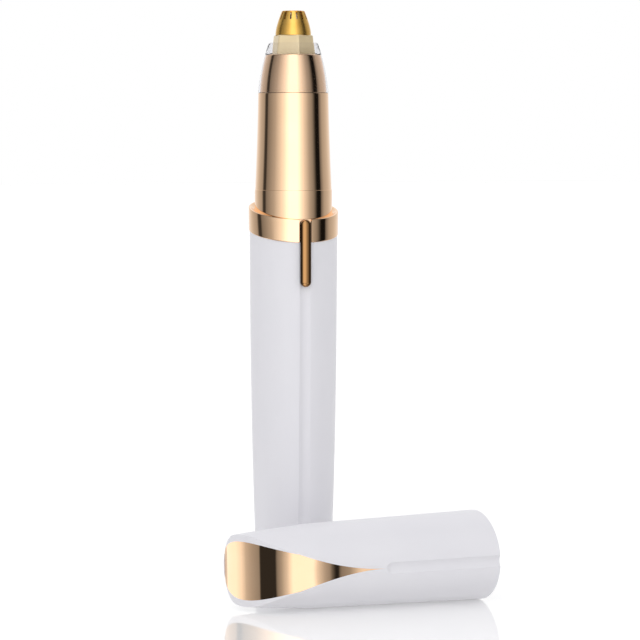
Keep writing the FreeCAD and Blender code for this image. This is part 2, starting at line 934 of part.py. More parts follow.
def laid_down(shape):
    """Lays a piece of the upright cap on the table, mouth to +X, front still at -Y."""
    lean = math.radians(cap_lean)
    place = point(cap_mouth_x, cap_axis_y, cap_mouth_r * math.cos(lean))
    turn = FreeCAD.Rotation(point(0, 1, 0), -90 - cap_lean)
    laid = shape.copy()
    laid.Placement = FreeCAD.Placement(place, turn).multiply(laid.Placement)
    return laid


# Every piece by its name

pieces = {
    "handle_sleeve": make_handle_sleeve(),
    "collar_ring": make_collar_ring(),
    "neck_band": make_neck_band(),
    "cone_shell": make_cone_shell(),
    "light_ring": make_light_ring(),
    "head_holder": make_head_holder(),
    "head_dome": make_head_dome(),
    "cutter_seat": make_cutter_seat(),
    "cutter_hub": make_cutter_hub(),
    "cutter_blades": make_cutter_blades(),
    "drive_coupling": make_drive_coupling(),
    "motor_can": make_motor_can(),
    "motor_end_cap": make_motor_end_cap(),
    "motor_terminals": make_motor_terminals(),
    "motor_magnets": make_motor_magnets(),
    "shaft_bushings": make_shaft_bushings(),
    "motor_shaft": make_motor_shaft(),
    "armature": make_armature(),
    "commutator": make_commutator(),
    "motor_leads": make_motor_leads(),
    "chassis_front": make_chassis_front(),
    "chassis_rear": make_chassis_rear(),
    "chassis_screws": make_chassis_screws(),
    "battery_cell": make_battery_cell(),
    "contact_plate": make_contact_plate(),
    "contact_leaf": make_contact_leaf(),
    "contact_strip": make_contact_strip(),
    "circuit_board": make_circuit_board(),
    "led_board": make_led_board(),
    "led": make_led(),
    "switch_bar": make_switch_bar(),
    "switch_slider": make_switch_slider(),
    "switch_wiper": make_switch_wiper(),
    "cap_shell": laid_down(cap_shell_upright()),
    "cap_inlay": laid_down(cap_inlay_upright()),
}

os.makedirs("parts", exist_ok=True)
for name, shape in pieces.items():
    shape.exportStep("parts/" + name + ".step")
    print(name, len(shape.Solids), round(shape.Volume, 2), shape.isValid())
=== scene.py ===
"""Looks of a pen-shaped eyebrow razor that stands open behind its cap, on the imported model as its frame."""
import json
import math

import bmesh
import bpy
from mathutils import Matrix, Vector, geometry


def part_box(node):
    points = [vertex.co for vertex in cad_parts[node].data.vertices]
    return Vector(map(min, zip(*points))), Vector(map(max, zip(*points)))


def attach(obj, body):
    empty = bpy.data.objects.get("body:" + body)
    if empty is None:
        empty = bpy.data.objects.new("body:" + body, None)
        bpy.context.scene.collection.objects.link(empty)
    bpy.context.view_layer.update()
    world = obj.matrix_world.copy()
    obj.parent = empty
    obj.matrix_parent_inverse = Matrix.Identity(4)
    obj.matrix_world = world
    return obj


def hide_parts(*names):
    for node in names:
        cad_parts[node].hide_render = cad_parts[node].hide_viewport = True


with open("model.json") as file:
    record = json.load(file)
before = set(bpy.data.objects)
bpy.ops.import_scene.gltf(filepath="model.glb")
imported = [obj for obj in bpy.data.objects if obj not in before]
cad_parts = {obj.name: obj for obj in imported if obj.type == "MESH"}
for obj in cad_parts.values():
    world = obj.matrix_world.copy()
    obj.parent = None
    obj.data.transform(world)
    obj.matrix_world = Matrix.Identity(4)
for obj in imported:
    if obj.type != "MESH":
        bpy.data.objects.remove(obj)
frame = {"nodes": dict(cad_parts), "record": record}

bl_info = {
    "name": "Eyebrow Razor",
    "version": (1, 0, 0),
    "blender": (4, 5, 0),
    "location": "3D View > Sidebar > Razor",
    "description": "Models and finishes the outer pieces of an eyebrow razor round its packed model",
    "category": "Object",
}

MM = 0.001
# Points that are nearer to each other than this are one point.
MERGE_GAP = 1e-7
SHARP_ANGLE = math.radians(40)
TURN_STEPS = 360
FINE_TURN_STEPS = 720
ROUND_STEPS = 4
BOW_POINTS = 24
HOLDER_SIDES = 6
# The higher, the tighter the corners between the holder's flats.
HOLDER_SHARPNESS = 50
BAR_STEPS_ROUND = 64
BAR_STEPS_ALONG = 32
# Shares of the switch bar's half width between which painted shade darkens its gold towards the edges.
BAR_PAINTED_SHADE_START = 0.6
BAR_PAINTED_SHADE_END = 0.85
CELL_BARE_END = 1.1 * MM
WHITE_LIGHT = (1, 1, 1, 1)

record = frame["record"]
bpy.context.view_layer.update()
body_of = {node: body for body, nodes in record["behaviour"]["bodies"].items() for node in nodes}
slot_of = {row["node"]: row["material_slot"] for row in record["subparts"]}

sleeve_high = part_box("handle_sleeve")[1]
collar_low, collar_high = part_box("collar_ring")
neck_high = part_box("neck_band")[1]
cone_low, cone_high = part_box("cone_shell")
ring_low, ring_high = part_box("light_ring")
holder_low, holder_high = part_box("head_holder")
dome_low, dome_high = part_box("head_dome")
bar_low, bar_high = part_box("switch_bar")
cell_low, cell_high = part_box("battery_cell")


def linear(code):
    """An sRGB hex colour as linear red, green and blue."""
    shares = [int(code[i:i + 2], 16) / 255 for i in (1, 3, 5)]
    return [s / 12.92 if s <= 0.04045 else ((s + 0.055) / 1.055) ** 2.4 for s in shares]


# Sizes and colours that a user would change

def length(name, description, default):
    """A length that the sidebar shows in scene units."""
    return bpy.props.FloatProperty(
        name=name, description=description, default=default, unit="LENGTH", precision=5)


def colour(name, description, code):
    """A colour that the sidebar shows as a swatch."""
    return bpy.props.FloatVectorProperty(
        name=name, description=description, default=linear(code), size=3, subtype="COLOR", min=0.0, max=1.0)


class RazorSizes(bpy.types.PropertyGroup):
    """Sizes of the razor's modelled pieces."""
    base_radius: length("Base radius", "Outer radius of the handle at its foot", 8.2 * MM)
    middle_radius: length("Middle radius", "Outer radius of the handle at its middle height", 9.35 * MM)
    top_radius: length("Top radius", "Outer radius of the handle under the collar", 9.75 * MM)
    middle_height: length("Middle height", "Height at which the middle radius is measured", 36.19 * MM)
    handle_wall: length("Handle wall", "Thickness of the handle's wall", 1.35 * MM)
    handle_floor: length("Handle floor", "Thickness of the handle's closed base", 1.6 * MM)
    base_round: length("Base round", "Rounding of the handle's bottom edge", 1.3 * MM)
    flute_radius: length("Flute radius", "Radius of the channel down the front", 2.2 * MM)
    flute_depth: length("Flute depth", "Depth of the channel down the front", 0.45 * MM)
    flute_lip: length("Flute lip", "Softness of the channel's lips", 0.12 * MM)
    collar_height: length("Collar height", "Height of the slanted collar", 5.1 * MM)
    collar_lip: length("Collar lip", "Width of the bright lip round the collar's top", 0.4 * MM)
    collar_dish: length("Collar dish", "Depth of the collar's top where it meets the neck", 0.9 * MM)
    collar_slope: bpy.props.FloatProperty(
        name="Collar slope", description="Rise of the collar's slant per unit of depth", default=0.21)
    trim_round: length("Trim round", "Rounding of the gold trim's edges", 0.22 * MM)
    neck_round: length("Neck round", "Rounding of the neck band's top edge", 0.1 * MM)
    slot_depth: length("Slot depth", "How deep the switch bar's slot cuts into the collar", 0.45 * MM)
    slot_half: length("Slot half width", "Half the width of the switch bar's slot", 1.35 * MM)
    bar_crown: length("Bar crown", "Height of the switch bar's rounded face", 0.75 * MM)
    stem_half: length("Stem slot half width", "Half the width of the slot for the switch's stem", 0.85 * MM)
    stem_low: length("Stem slot foot", "Height of the stem slot's lower end", 77.75 * MM)
    stem_high: length("Stem slot head", "Height of the stem slot's upper end", 81.65 * MM)
    neck_wall: length("Neck wall", "Thickness of the neck band", 0.85 * MM)
    cone_middle_radius: length("Cone middle radius", "Radius of the cone halfway up its tall part", 8.1 * MM)
    cone_shoulder_radius: length("Cone shoulder radius", "Radius of the cone under the clear ring", 7.82 * MM)
    cone_ledge: length("Cone ledge", "Width of the ledge under the clear ring", 0.42 * MM)
    cone_tip_middle_radius: length(
        "Cone tip middle radius", "Radius halfway up the gold in the ring", 7.0 * MM)
    cone_tip_radius: length("Cone tip radius", "Radius of the gold at its top edge", 6.12 * MM)
    cone_mouth_radius: length("Cone mouth radius", "Radius of the hole in the cone's top", 5.3 * MM)
    cone_inner_radius: length("Cone inner radius", "Radius inside the tall part of the cone", 7.4 * MM)
    cone_step: length("Cone step", "Distance from the shoulder down to the inside step", 2.15 * MM)
    cone_wall: length("Cone wall", "Thickness of the gold inside the clear ring", 0.75 * MM)
    ring_middle_radius: length(
        "Ring middle radius", "Outer radius of the clear ring at half height", 7.0 * MM)
    ring_top_radius: length("Ring top radius", "Outer radius of the clear ring at its top", 5.45 * MM)
    ring_gap: length("Ring gap", "Gap between the clear ring and the gold inside it", 0.05 * MM)
    ring_round: length("Ring round", "Rounding of the clear ring's edges", 0.06 * MM)
    holder_foot_radius: length("Holder foot radius", "Radius to the holder's flats at their foot", 4.42 * MM)
    holder_top_radius: length("Holder top radius", "Radius to the holder's flats at their top", 3.9 * MM)
    holder_bore: length("Holder bore", "Radius of the holder's bore", 3.4 * MM)
    holder_skirt: length("Holder skirt radius", "Radius of the round skirt under the flats", 4.3 * MM)
    holder_skirt_length: length("Holder skirt length", "Length of the round skirt", 3.0 * MM)
    holder_round: length("Holder round", "Rounding of the holder's top edge", 0.25 * MM)
    dome_belly_radius: length("Dome belly radius", "Radius of the dome at its belly", 3.64 * MM)
    dome_belly_height: length("Dome belly height", "Height of the belly above the dome's foot", 2.16 * MM)
    dome_top_radius: length("Dome top radius", "Radius of the dome's flat top", 2.5 * MM)
    dome_wall: length("Dome wall", "Thickness of the dome's sheet", 0.4 * MM)
    hair_slot_half: length("Hair slot half width", "Half the width of a hair slot", 0.18 * MM)
    hair_slot_depth: length("Hair slot depth", "How far a hair slot comes down from the top", 1.9 * MM)
    hair_slot_inner: length(
        "Hair slot inner radius", "Radius at which the hair slots end on the top", 1.7 * MM)
    hair_slots: bpy.props.IntProperty(
        name="Hair slots", description="Number of hair slots", default=14, min=2)


class RazorColours(bpy.types.PropertyGroup):
    """Colours of the razor's finishes."""
    white: colour("White plastic", "Handle and cap", "#E1E0E5")
    white_flow: colour(
        "White plastic flow", "Paler clouds that the melt leaves in the white plastic", "#E6E5E9")
    gold: colour("Gold plating", "Collar, neck, cone and inlay", "#FFD9B4")
    gold_thin: colour("Thin gold plating", "Where the plated film is a little thinner", "#FBD2AA")
    clear: colour("Clear plastic", "Ring round the cone's tip", "#FAFAFC")
    # Both switch bar colours are painted shade: a darker copy of the gold, and dark brown for the edges in
    # the slot's shade.
    bar: colour("Switch bar", "Gold film on the switch bar", "#A97E52")
    bar_edge_painted_shade: colour("Switch bar edge", "Gold film where the bar goes into its slot", "#3E2B1A")
    cream: colour("Cream plastic", "Six-sided holder of the head", "#E6D3AC")
    cream_flow: colour("Cream plastic flow", "Darker clouds in the cream plastic", "#DCC79D")
    head: colour("Head plating", "Slotted head", "#EDC26C")
    head_worn: colour("Worn head plating", "Head where hair and skin have rubbed it", "#D9A446")
    natural: colour("Natural plastic", "Mouldings inside the razor", "#D8D7D1")
    natural_flow: colour("Natural plastic flow", "Darker clouds in those mouldings", "#CBCAC3")


def sizes():
    """The scene's razor sizes."""
    return bpy.context.scene.razor_sizes


def colours():
    """The scene's razor colours."""
    return bpy.context.scene.razor_colours


# Materials

def add(tree, kind, inputs=None, **settings):
    """Adds a node with its settings, and fills its inputs with values or with links from other nodes."""
    made = tree.nodes.new(kind)
    for key, value in settings.items():
        setattr(made, key, value)
    for socket, value in (inputs or {}).items():
        if isinstance(value, bpy.types.NodeSocket):
            tree.links.new(value, made.inputs[socket])
        else:
            made.inputs[socket].default_value = value
    return made


def start_surface(name):
    """A new material with an empty tree and its Object coordinates."""
    surface = bpy.data.materials.new(name)
    surface.use_nodes = True
    tree = surface.node_tree
    tree.nodes.clear()
    place = add(tree, "ShaderNodeTexCoord").outputs["Object"]
    return surface, tree, place


def finish_surface(tree, inputs):
    """Adds the shader and the output."""
    shader = add(tree, "ShaderNodeBsdfPrincipled", inputs)
    add(tree, "ShaderNodeOutputMaterial", {"Surface": shader.outputs["BSDF"]})


def rgba(value):
    """A colour with full alpha."""
    return (*value, 1.0)


def clouded(name, size, detail, first, second):
    """A new material whose colour drifts between two colours, in clouds of a real size."""
    surface, tree, place = start_surface(name)
    clouds = add(tree, "ShaderNodeTexNoise", {"Vector": place, "Scale": 1 / size, "Detail": detail})
    tint = add(tree, "ShaderNodeMix", {
        "Factor": clouds.outputs[0], "A": rgba(first), "B": rgba(second),
    }, data_type="RGBA")
    return surface, tree, place, clouds.outputs[0], tint.outputs["Result"]


def white_plastic():
    """White ABS, moulded in a satin tool: soft broad sheen over a barely grained skin."""
    surface, tree, place, _, tint = clouded(
        "abs_white_satin_moulded", 14 * MM, 2.0, colours().white, colours().white_flow)
    # The tool's spark grain is about 0.05 mm; it is drawn at 0.3 mm so that it still shows.
    grain = add(tree, "ShaderNodeTexNoise", {"Vector": place, "Scale": 1 / (0.3 * MM), "Detail": 3.0})
    gloss = add(tree, "ShaderNodeMapRange", {"Value": grain.outputs[0], "To Min": 0.34, "To Max": 0.46})
    skin = add(tree, "ShaderNodeBump", {"Height": grain.outputs[0], "Strength": 0.06, "Distance": 0.02 * MM})
    finish_surface(tree, {
        "Base Color": tint, "Roughness": gloss.outputs[0], "Normal": skin.outputs[0], "IOR": 1.53})
    return surface


def gold_plated():
    """ABS with a vacuum-metallised gold film: a warm mirror with the moulding's faint ripple under it."""
    surface, tree, place, film, tint = clouded(
        "abs_gold_vacuum_metallised", 6 * MM, 3.0, colours().gold, colours().gold_thin)
    # Specks under the lacquer are about 0.1 mm; they are drawn at 0.25 mm so that they still show.
    specks = add(tree, "ShaderNodeTexNoise", {"Vector": place, "Scale": 1 / (0.25 * MM), "Detail": 2.0})
    gloss = add(tree, "ShaderNodeMapRange", {"Value": specks.outputs[0], "To Min": 0.02, "To Max": 0.06})
    ripple = add(tree, "ShaderNodeBump", {"Height": film, "Strength": 0.05, "Distance": 0.05 * MM})
    finish_surface(tree, {
        "Base Color": tint, "Metallic": 1.0, "Roughness": gloss.outputs[0], "Normal": ripple.outputs[0]})
    return surface


def gold_bar():
    """The same gold film on the narrow bar with painted shade: a darker copy of the gold, darkest along both
    long edges where the slot would shade it.
    """
    surface, tree, place = start_surface("abs_gold_vacuum_metallised_painted_shade")
    film = add(tree, "ShaderNodeTexNoise", {"Vector": place, "Scale": 1 / (2 * MM), "Detail": 3.0})
    across = add(tree, "ShaderNodeSeparateXYZ", {"Vector": place})
    aside = add(tree, "ShaderNodeMath", {0: across.outputs["X"]}, operation="ABSOLUTE")
    half = (bar_high.x - bar_low.x) / 2
    # Painted shade: the gold darkens towards both long edges of the bar, where the slot would shade it.
    edge = add(tree, "ShaderNodeMapRange", {
        "Value": aside.outputs[0], "From Min": BAR_PAINTED_SHADE_START * half, "From Max": BAR_PAINTED_SHADE_END * half,
    }, interpolation_type="SMOOTHSTEP")
    tint = add(tree, "ShaderNodeMix", {
        "Factor": edge.outputs[0], "A": rgba(colours().bar), "B": rgba(colours().bar_edge_painted_shade),
    }, data_type="RGBA")
    gloss = add(tree, "ShaderNodeMapRange", {"Value": film.outputs[0], "To Min": 0.04, "To Max": 0.1})
    finish_surface(tree, {
        "Base Color": tint.outputs["Result"], "Metallic": 1.0, "Roughness": gloss.outputs[0]})
    return surface


def clear_plastic():
    """Polished acrylic: clear as glass, with pale edges and faint haze from the moulding."""
    surface, tree, place = start_surface("acrylic_clear_polished")
    haze = add(tree, "ShaderNodeTexNoise", {"Vector": place, "Scale": 1 / (2 * MM), "Detail": 2.0})
    gloss = add(tree, "ShaderNodeMapRange", {"Value": haze.outputs[0], "To Min": 0.02, "To Max": 0.08})
    # Acrylic has an index of 1.49; a lower one bends the light as little as the thin wall of the real ring.
    finish_surface(tree, {
        "Base Color": rgba(colours().clear), "Roughness": gloss.outputs[0], "IOR": 1.15,
        "Transmission Weight": 1.0})
    return surface


def cream_plastic():
    """Cream ABS under a pearl lacquer: an even warm skin whose flats catch the studio's light and dark."""
    surface, tree, _, flow, tint = clouded(
        "abs_cream_pearl_lacquer", 3 * MM, 3.0, colours().cream, colours().cream_flow)
    gloss = add(tree, "ShaderNodeMapRange", {"Value": flow, "To Min": 0.26, "To Max": 0.34})
    skin = add(tree, "ShaderNodeBump", {"Height": flow, "Strength": 0.05, "Distance": 0.02 * MM})
    finish_surface(tree, {
        "Base Color": tint, "Metallic": 0.3, "Roughness": gloss.outputs[0], "Normal": skin.outputs[0]})
    return surface


def head_gold():
    """Gold-plated nickel sheet, polished: yellower than the trim, rubbed duller in patches."""
    surface, tree, _, rubbed, tint = clouded(
        "nickel_sheet_gold_plated_polished", 1.6 * MM, 4.0, colours().head, colours().head_worn)
    gloss = add(tree, "ShaderNodeMapRange", {"Value": rubbed, "To Min": 0.12, "To Max": 0.22})
    finish_surface(tree, {"Base Color": tint, "Metallic": 0.9, "Roughness": gloss.outputs[0]})
    return surface


def inner_plastic():
    """Natural polypropylene, moulded: dull and slightly cloudy."""
    surface, tree, _, flow, tint = clouded(
        "polypropylene_natural_moulded", 5 * MM, 4.0, colours().natural, colours().natural_flow)
    skin = add(tree, "ShaderNodeBump", {"Height": flow, "Strength": 0.1, "Distance": 0.03 * MM})
    finish_surface(tree, {"Base Color": tint, "Roughness": 0.5, "Normal": skin.outputs[0], "IOR": 1.49})
    return surface


def drawn_metal(name, bright, dull, smooth, rough):
    """A metal with fine lines along the razor's axis from drawing and rolling."""
    surface, tree, place = start_surface(name)
    # Draw lines are about 0.02 mm apart; they are drawn at 0.15 mm so that they still show.
    along = add(tree, "ShaderNodeMapping", {"Vector": place, "Scale": (1.0, 1.0, 0.04)})
    lines = add(tree, "ShaderNodeTexNoise", {
        "Vector": along.outputs[0], "Scale": 1 / (0.15 * MM), "Detail": 3.0})
    tint = add(tree, "ShaderNodeMix", {
        "Factor": lines.outputs[0], "A": rgba(linear(bright)), "B": rgba(linear(dull)),
    }, data_type="RGBA")
    gloss = add(tree, "ShaderNodeMapRange", {"Value": lines.outputs[0], "To Min": smooth, "To Max": rough})
    finish_surface(tree, {
        "Base Color": tint.outputs["Result"], "Metallic": 1.0, "Roughness": gloss.outputs[0]})
    return surface


def steel():
    """Bright drawn steel: grey, with fine lines along the draw."""
    return drawn_metal("steel_bright_drawn", "#C9C9CB", "#AFAFB2", 0.22, 0.38)


def contact_metal():
    """Nickel-plated spring strip, rolled: brighter and a little yellow."""
    return drawn_metal("spring_strip_nickel_plated", "#D6D4CC", "#C4C1B7", 0.16, 0.28)


def bronze():
    """Sintered bronze: brown-gold with the pores of pressed powder."""
    surface, tree, place = start_surface("bronze_sintered")
    pores = add(tree, "ShaderNodeTexVoronoi", {"Vector": place, "Scale": 1 / (0.15 * MM)})
    tint = add(tree, "ShaderNodeMix", {
        "Factor": pores.outputs["Distance"], "A": rgba(linear("#8A5C33")), "B": rgba(linear("#C08C55")),
    }, data_type="RGBA")
    skin = add(tree, "ShaderNodeBump", {
        "Height": pores.outputs["Distance"], "Strength": 0.3, "Distance": 0.03 * MM})
    finish_surface(tree, {
        "Base Color": tint.outputs["Result"], "Metallic": 1.0, "Roughness": 0.45, "Normal": skin.outputs[0]})
    return surface


def magnet():
    """Pressed ferrite: near black and grainy, with a weak sheen."""
    surface, tree, _, grit, tint = clouded(
        "ferrite_pressed", 0.2 * MM, 6.0, linear("#2A2A2C"), linear("#3D3D40"))
    skin = add(tree, "ShaderNodeBump", {"Height": grit, "Strength": 0.3, "Distance": 0.03 * MM})
    finish_surface(tree, {"Base Color": tint, "Roughness": 0.55, "Normal": skin.outputs[0]})
    return surface


def board():
    """Glass-epoxy board under green lacquer: the cloth's weave shows as faint squares."""
    surface, tree, place = start_surface("glass_epoxy_green_lacquer")
    weave = add(tree, "ShaderNodeTexChecker", {
        "Vector": place, "Scale": 1 / (0.4 * MM), "Color1": rgba(linear("#1F6B3D")),
        "Color2": rgba(linear("#1B5F36"))})
    skin = add(tree, "ShaderNodeBump", {
        "Height": weave.outputs["Fac"], "Strength": 0.1, "Distance": 0.01 * MM})
    finish_surface(tree, {"Base Color": weave.outputs["Color"], "Roughness": 0.3, "Normal": skin.outputs[0]})
    return surface


def lamp():
    """Epoxy lamp body with phosphor: milky yellow and glossy."""
    surface, tree, _, _, tint = clouded(
        "epoxy_phosphor_cast", 0.3 * MM, 2.0, linear("#F2E7B5"), linear("#EBD98F"))
    finish_surface(tree, {"Base Color": tint, "Roughness": 0.2, "IOR": 1.54})
    return surface


def cell():
    """Plain grey shrink film on a dry cell: glossy, slightly wrinkled, with bare steel at the ends."""
    surface, tree, place, creases, film = clouded(
        "shrink_film_grey_on_steel", 4 * MM, 4.0, linear("#5F6165"), linear("#6B6D72"))
    height = add(tree, "ShaderNodeSeparateXYZ", {"Vector": place}).outputs["Z"]
    middle = (cell_low.z + cell_high.z) / 2
    half = (cell_high.z - cell_low.z) / 2
    offset = add(tree, "ShaderNodeMath", {0: height, 1: middle}, operation="SUBTRACT")
    away = add(tree, "ShaderNodeMath", {0: offset.outputs[0]}, operation="ABSOLUTE")
    bare = add(tree, "ShaderNodeMath", {
        0: away.outputs[0], 1: half - CELL_BARE_END}, operation="GREATER_THAN")
    tint = add(tree, "ShaderNodeMix", {
        "Factor": bare.outputs[0], "A": film, "B": rgba(linear("#C9C9CB")),
    }, data_type="RGBA")
    skin = add(tree, "ShaderNodeBump", {"Height": creases, "Strength": 0.15, "Distance": 0.05 * MM})
    finish_surface(tree, {
        "Base Color": tint.outputs["Result"], "Metallic": bare.outputs[0], "Roughness": 0.28,
        "Normal": skin.outputs[0]})
    return surface


def wire():
    """PVC-covered leads: one red, one black, satin."""
    surface, tree, place = start_surface("pvc_lead_extruded")
    side = add(tree, "ShaderNodeSeparateXYZ", {"Vector": place}).outputs["X"]
    other = add(tree, "ShaderNodeMath", {0: side, 1: 0.0}, operation="GREATER_THAN")
    tint = add(tree, "ShaderNodeMix", {
        "Factor": other.outputs[0], "A": rgba(linear("#A3231C")), "B": rgba(linear("#2B2B2D")),
    }, data_type="RGBA")
    grain = add(tree, "ShaderNodeTexNoise", {"Vector": place, "Scale": 1 / (0.2 * MM), "Detail": 2.0})
    gloss = add(tree, "ShaderNodeMapRange", {"Value": grain.outputs[0], "To Min": 0.35, "To Max": 0.5})
    finish_surface(tree, {"Base Color": tint.outputs["Result"], "Roughness": gloss.outputs[0], "IOR": 1.53})
    return surface


# By material slot, and for the switch bar by node.
finishes = {
    "white_plastic": white_plastic, "gold_plated": gold_plated, "clear_plastic": clear_plastic,
    "cream_plastic": cream_plastic, "head_gold": head_gold, "inner_plastic": inner_plastic, "steel": steel,
    "contact_metal": contact_metal, "bronze": bronze, "magnet": magnet, "board": board, "lamp": lamp,
    "cell": cell, "wire": wire, "switch_bar": gold_bar,
}
made_finishes = {}


def finish_for(node):
    """The material of a node, or else of its slot, made on first use."""
    key = node if node in finishes else slot_of[node]
    if key not in made_finishes:
        made_finishes[key] = finishes[key]()
    return made_finishes[key]


# Modelling helpers

def bow(start, middle, end):
    """Points (radius, height) of a shallow curve through three points, without its two ends."""
    start, middle, end = (Vector((r, 0, z)) for r, z in (start, middle, end))
    # The curve has one point that pulls it; as a cubic it has two handles, two thirds of the way there.
    pull = 2 * middle - (start + end) / 2
    near = start + (pull - start) * 2 / 3
    far = end + (pull - end) * 2 / 3
    points = geometry.interpolate_bezier(start, near, far, end, BOW_POINTS)
    return [(p.x, p.z, 0) for p in points[1:-1]]


def everything(bm):
    """All the points, edges and faces of a mesh."""
    return bm.verts[:] + bm.edges[:] + bm.faces[:]


def parts_of(faces):
    """Faces with their edges and points, each once and always in the same order."""
    return list(dict.fromkeys(part for face in faces for part in (face, *face.edges, *face.verts)))


def open_edges(bm):
    """The edges round the holes of a mesh."""
    return [e for e in bm.edges if e.is_boundary]


def turned(outline, steps=TURN_STEPS):
    """A closed outline of (radius, height, rounding) corners, rounded and spun round the razor's axis."""
    bm = bmesh.new()
    corners = [(bm.verts.new((r, 0, z)), rounding) for r, z, rounding in outline]
    bm.faces.new([v for v, rounding in corners])
    for corner, rounding in corners:
        if rounding:
            bmesh.ops.bevel(bm, geom=[corner], offset=rounding, offset_type="OFFSET", affect="VERTICES",
                            segments=ROUND_STEPS, profile=0.5, material=-1)
    bmesh.ops.delete(bm, geom=bm.faces[:], context="FACES_ONLY")
    on_axis = [e for e in bm.edges if max(abs(v.co.x) for v in e.verts) < MERGE_GAP]
    bmesh.ops.delete(bm, geom=on_axis, context="EDGES")
    bmesh.ops.spin(bm, geom=bm.verts[:] + bm.edges[:], cent=(0, 0, 0), axis=(0, 0, 1), angle=2 * math.pi,
                   steps=steps, use_merge=True)
    bmesh.ops.remove_doubles(bm, verts=bm.verts, dist=MERGE_GAP)
    bmesh.ops.recalc_face_normals(bm, faces=bm.faces)
    return bm


def cut_slant(bm, front_height, keep_below):
    """Cuts a tube on the collar's slant and closes the cut between its two walls."""
    normal = Vector((0, -sizes().collar_slope, 1)).normalized()
    point = Vector((0, -collar_high.x, front_height))
    bmesh.ops.bisect_plane(bm, geom=everything(bm), dist=MERGE_GAP, plane_co=point, plane_no=normal,
                           clear_outer=keep_below, clear_inner=not keep_below)
    bmesh.ops.bridge_loops(bm, edges=open_edges(bm))
    bmesh.ops.recalc_face_normals(bm, faces=bm.faces)


def cut_stem_slot(bm):
    """Cuts the slot for the switch's stem through the front of a tube."""
    half, low, high = sizes().stem_half, sizes().stem_low, sizes().stem_high
    for point, normal in (((half, 0, 0), (1, 0, 0)), ((-half, 0, 0), (1, 0, 0)),
                          ((0, 0, low), (0, 0, 1)), ((0, 0, high), (0, 0, 1))):
        front = [f for f in bm.faces if f.calc_center_median().y < -neck_high.x / 2]
        bmesh.ops.bisect_plane(bm, geom=parts_of(front), dist=MERGE_GAP, plane_co=point, plane_no=normal)
    inside = []
    for face in bm.faces:
        middle = face.calc_center_median()
        if middle.y < 0 and abs(middle.x) < half and low < middle.z < high:
            inside.append(face)
    bmesh.ops.delete(bm, geom=inside, context="FACES")
    bmesh.ops.bridge_loops(bm, edges=open_edges(bm))
    bmesh.ops.recalc_face_normals(bm, faces=bm.faces)


def settle(bm, name):
    """Makes a modelled mesh an object of the scene."""
    mesh = bpy.data.meshes.new(name)
    bm.to_mesh(mesh)
    bm.free()
    made = bpy.data.objects.new(name, mesh)
    bpy.context.scene.collection.objects.link(made)
    return made


def finish_piece(bm, node):
    """Makes the modelled mesh the piece that stands for a CAD node."""
    piece = settle(bm, node + "_look")
    piece.data.shade_smooth()
    piece.data.set_sharp_from_angle(angle=SHARP_ANGLE)
    piece.data.materials.append(finish_for(node))
    weighted = piece.modifiers.new("Weighted normals", "WEIGHTED_NORMAL")
    weighted.keep_sharp = True
    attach(piece, body_of[node])
    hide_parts(node)
    return piece


def dress(*nodes):
    """Gives CAD nodes that keep their shape the finish of their slot."""
    for node in nodes:
        held = frame["nodes"][node].data.materials
        held.clear()
        held.append(finish_for(node))


# Operators

class RAZOR_OT_handle(bpy.types.Operator):
    """Model the white handle sleeve with its flute and slanted mouth"""
    bl_idname = "razor.handle"
    bl_label = "Handle"

    def execute(self, context):
        s = sizes()
        tall = sleeve_high.z + s.handle_wall
        foot = (s.base_radius, 0)
        middle = (s.middle_radius, s.middle_height)
        top = (s.top_radius, tall)
        wall = s.handle_wall
        outline = [(0, 0, 0), (*foot, s.base_round)] + bow(foot, middle, top) + [(*top, 0)]
        inner_foot = (s.base_radius - wall, s.handle_floor)
        inner_top = (s.top_radius - wall, tall)
        inner_middle = (s.middle_radius - wall, s.middle_height)
        outline += [(*inner_top, 0)] + bow(inner_top, inner_middle, inner_foot) + [(*inner_foot, 0)]
        outline += [(0, s.handle_floor, 0)]
        bm = turned(outline, FINE_TURN_STEPS)
        self.press_flute(bm)
        cut_slant(bm, collar_low.z, True)
        finish_piece(bm, "handle_sleeve")
        return {"FINISHED"}

    def press_flute(self, bm):
        """Presses the front of the sleeve's outside in to a round channel with soft lips."""
        s = sizes()
        skin = [v for v in bm.verts if v.co.y < 0 and abs(v.co.x) < s.flute_radius]
        for vert in skin:
            radius = math.hypot(vert.co.x, vert.co.y)
            if radius < s.base_radius - s.base_round - s.flute_depth or self.is_inside(vert):
                continue
            full = self.outer_radius(vert.co.z)
            centre = full + s.flute_radius - s.flute_depth
            across = centre * vert.co.x / radius
            if abs(across) >= s.flute_radius:
                continue
            along = centre * -vert.co.y / radius
            channel = along - math.sqrt(s.flute_radius ** 2 - across ** 2)
            # The lower of wall and channel, eased from one to the other over the width of the lip.
            blend = max(s.flute_lip - abs(radius - channel), 0) / s.flute_lip
            pressed = min(radius, channel) - blend ** 2 * s.flute_lip / 4
            vert.co.x *= pressed / radius
            vert.co.y *= pressed / radius

    def outer_radius(self, height):
        """The sleeve's outer radius at a height, on the curve through foot, middle and top."""
        s = sizes()
        top = sleeve_high.z + s.handle_wall
        low, mid = s.base_radius, s.middle_radius
        first = (mid - low) / s.middle_height
        second = (s.top_radius - mid) / (top - s.middle_height)
        bend = (second - first) / top
        return low + first * height + bend * height * (height - s.middle_height)

    def is_inside(self, vert):
        """Whether a point is on the sleeve's inner wall or floor."""
        s = sizes()
        radius = math.hypot(vert.co.x, vert.co.y)
        return vert.co.z >= s.handle_floor and radius < self.outer_radius(vert.co.z) - s.handle_wall / 2


